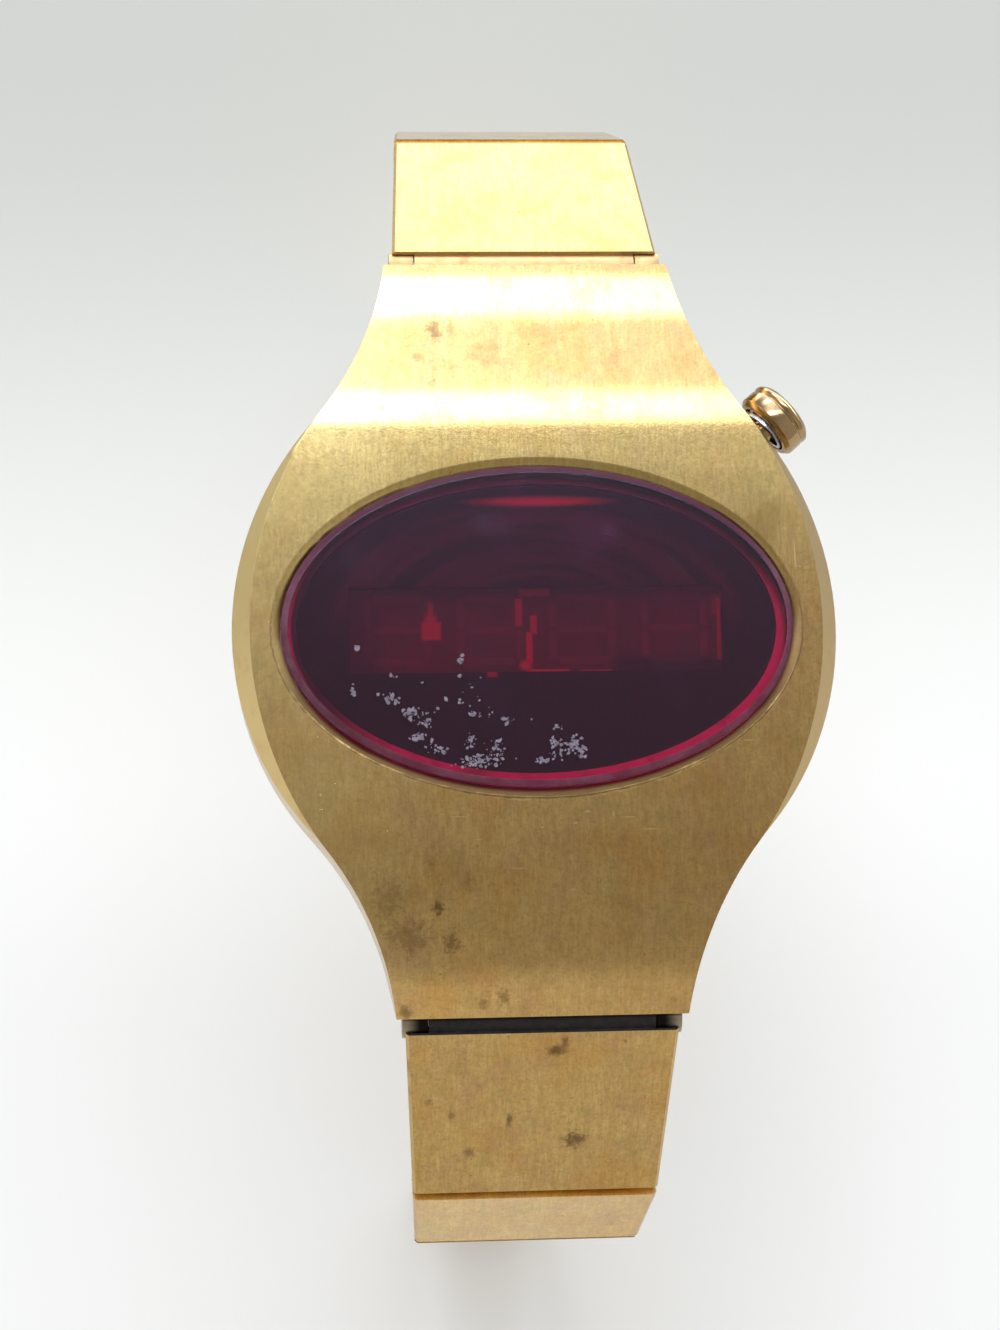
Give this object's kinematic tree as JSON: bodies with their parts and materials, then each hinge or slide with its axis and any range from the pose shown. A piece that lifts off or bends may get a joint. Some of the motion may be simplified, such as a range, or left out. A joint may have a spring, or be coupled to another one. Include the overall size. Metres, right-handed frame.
{
  "type": "wristwatch",
  "caption": "LED wristwatch with a flared gold-tone case, oval dark red lens, side push-button and tapered link bracelet with a ladder clasp.",
  "frame": {"origin": "centre of the case back's outer face", "axes": "+Z out of the watch face, +Y towards 12 o'clock, +X towards 3 o'clock"},
  "size_m": [0.04, 0.0818, 0.0759],
  "materials": {
    "case_gold": "brushed gold-tone plating, polished bevels",
    "band_gold": "brushed gold-tone plating",
    "pusher_gold": "polished gold-tone plating",
    "steel": "fine circular brushing",
    "lens_red": "dark red, clear, polished",
    "seal_black": "smooth",
    "module_plastic": "moulded",
    "board_green": "glass-epoxy laminate",
    "cell_steel": "bright nickel",
    "mask_black": "matt black",
    "panel_maroon": "dark red ceramic look",
    "segment_red": "translucent red bars, unlit",
    "chip_resin": "epoxy drop"
  },
  "bodies": {
    "case": {"case_body": "case_gold", "lens": "lens_red", "lens_seal": "seal_black", "case_back": "steel", "back_gasket": "seal_black", "module_frame": "module_plastic", "circuit_board": "board_green", "cell_left": "cell_steel", "cell_right": "cell_steel", "cell_strap": "steel", "strap_screws": "steel", "logic_chip": "chip_resin", "quartz_crystal": "cell_steel", "trimmer": "module_plastic", "display_mask": "mask_black", "display_panel": "panel_maroon", "digit_segments": "segment_red", "contact_leaf": "steel", "pusher_tube": "pusher_gold", "pusher_spring": "steel", "spring_bar_12": "steel", "spring_bar_6": "steel"},
    "pusher": {"pusher": "pusher_gold", "pusher_ring": "seal_black", "pusher_clip": "steel"},
    "link_12_1": {"link_12_1": "band_gold", "pin_12_1": "steel"},
    "link_12_2": {"link_12_2": "band_gold", "pin_12_2": "steel"},
    "link_12_3": {"link_12_3": "band_gold", "pin_12_3": "steel"},
    "link_12_4": {"link_12_4": "band_gold", "pin_12_4": "steel"},
    "link_12_5": {"link_12_5": "band_gold", "pin_12_5": "steel"},
    "clasp": {"clasp_tray": "band_gold", "flap_pin": "steel"},
    "link_6_1": {"link_6_1": "band_gold", "pin_6_1": "steel"},
    "link_6_2": {"link_6_2": "band_gold", "pin_6_2": "steel"},
    "link_6_3": {"link_6_3": "band_gold", "pin_6_3": "steel"},
    "link_6_4": {"link_6_4": "band_gold", "pin_6_4": "steel"},
    "link_6_5": {"link_6_5": "band_gold", "pin_6_5": "steel"},
    "ladder": {"ladder_plate": "band_gold"},
    "flap": {"clasp_flap": "band_gold"}
  },
  "joints": [
    {"name": "pusher_slide", "type": "slide", "parent": "case", "child": "pusher", "axis": [-0.7547, -0.6561, 0], "range_m": [0, 0.00075], "stiffness_N_per_m": 1500, "springref_m": -0.0005, "deforming": ["pusher_spring"]},
    {"name": "lug_12_hinge", "type": "hinge", "parent": "case", "child": "link_12_1", "pos_m": [0, 0.02539, 0.00368], "axis": [-1, 0, 0], "range_deg": [-25, 0]},
    {"name": "link_12_2_hinge", "type": "hinge", "parent": "link_12_1", "child": "link_12_2", "pos_m": [0, 0.03611, -0.00532], "axis": [-1, 0, 0], "range_deg": [-33, 0]},
    {"name": "link_12_3_hinge", "type": "hinge", "parent": "link_12_2", "child": "link_12_3", "pos_m": [0, 0.03948, -0.01366], "axis": [-1, 0, 0], "range_deg": [-27, 6]},
    {"name": "link_12_4_hinge", "type": "hinge", "parent": "link_12_3", "child": "link_12_4", "pos_m": [0, 0.03948, -0.02266], "axis": [-1, 0, 0], "range_deg": [-5, 28]},
    {"name": "link_12_5_hinge", "type": "hinge", "parent": "link_12_4", "child": "link_12_5", "pos_m": [0, 0.03948, -0.03166], "axis": [-1, 0, 0], "range_deg": [-5, 28]},
    {"name": "clasp_hinge", "type": "hinge", "parent": "link_12_5", "child": "clasp", "pos_m": [0, 0.03948, -0.04066], "axis": [-1, 0, 0], "range_deg": [-5, 28]},
    {"name": "lug_6_hinge", "type": "hinge", "parent": "case", "child": "link_6_1", "pos_m": [0, -0.02539, 0.00368], "axis": [1, 0, 0], "range_deg": [-25, 0]},
    {"name": "link_6_2_hinge", "type": "hinge", "parent": "link_6_1", "child": "link_6_2", "pos_m": [0, -0.03611, -0.00532], "axis": [1, 0, 0], "range_deg": [-33, 0]},
    {"name": "link_6_3_hinge", "type": "hinge", "parent": "link_6_2", "child": "link_6_3", "pos_m": [0, -0.03948, -0.01366], "axis": [1, 0, 0], "range_deg": [-27, 6]},
    {"name": "link_6_4_hinge", "type": "hinge", "parent": "link_6_3", "child": "link_6_4", "pos_m": [0, -0.03948, -0.02266], "axis": [1, 0, 0], "range_deg": [-5, 28]},
    {"name": "link_6_5_hinge", "type": "hinge", "parent": "link_6_4", "child": "link_6_5", "pos_m": [0, -0.03948, -0.03166], "axis": [1, 0, 0], "range_deg": [-5, 28]},
    {"name": "ladder_hinge", "type": "hinge", "parent": "link_6_5", "child": "ladder", "pos_m": [0, -0.03948, -0.04066], "axis": [1, 0, 0], "range_deg": [-5, 28]},
    {"name": "flap_hinge", "type": "hinge", "parent": "clasp", "child": "flap", "pos_m": [0, 0.03948, -0.04416], "axis": [1, 0, 0], "range_deg": [0, 100]}
  ]
}
